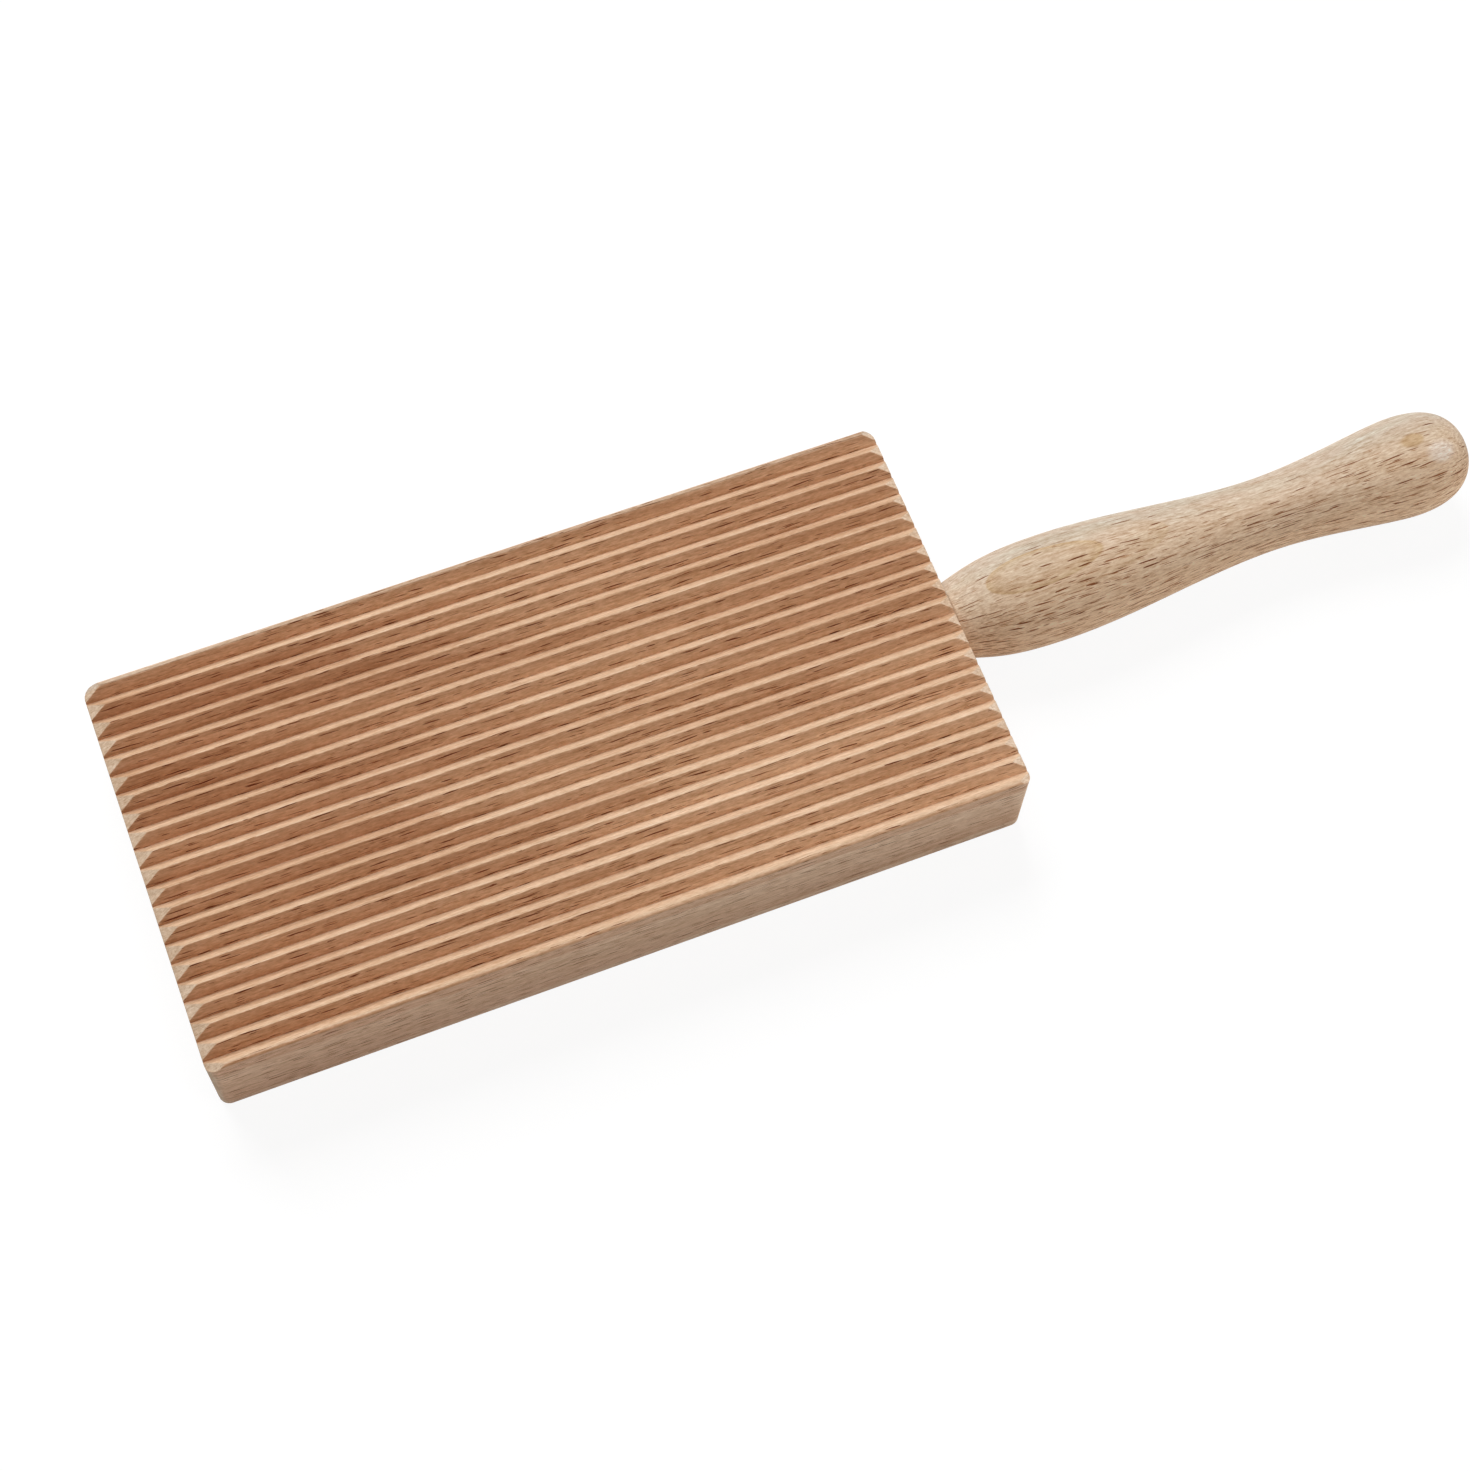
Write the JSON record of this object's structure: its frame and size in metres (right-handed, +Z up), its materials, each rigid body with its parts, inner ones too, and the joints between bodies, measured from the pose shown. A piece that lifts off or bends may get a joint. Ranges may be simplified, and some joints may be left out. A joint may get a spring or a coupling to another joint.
{
  "type": "gnocchi board",
  "caption": "Wooden gnocchi board: a rectangular block with lengthwise V ridges on its face, bevelled at both ends, and a turned handle with a bulge, a waist and a round knob.",
  "frame": {"origin": "on the underside, below the middle of the whole part's length and width", "axes": "+X along the board towards the handle's knob, +Y across the ridges, +Z up out of the ridged face"},
  "size_m": [0.3064, 0.09, 0.024],
  "materials": {
    "board_beech": "bare sanded beech, fine pores and flecks along the board",
    "handle_beech": "bare sanded beech, paler, with short dark flecks along the handle"
  },
  "bodies": {
    "root": {"ridged_board": "board_beech", "turned_handle": "handle_beech"}
  },
  "joints": []
}
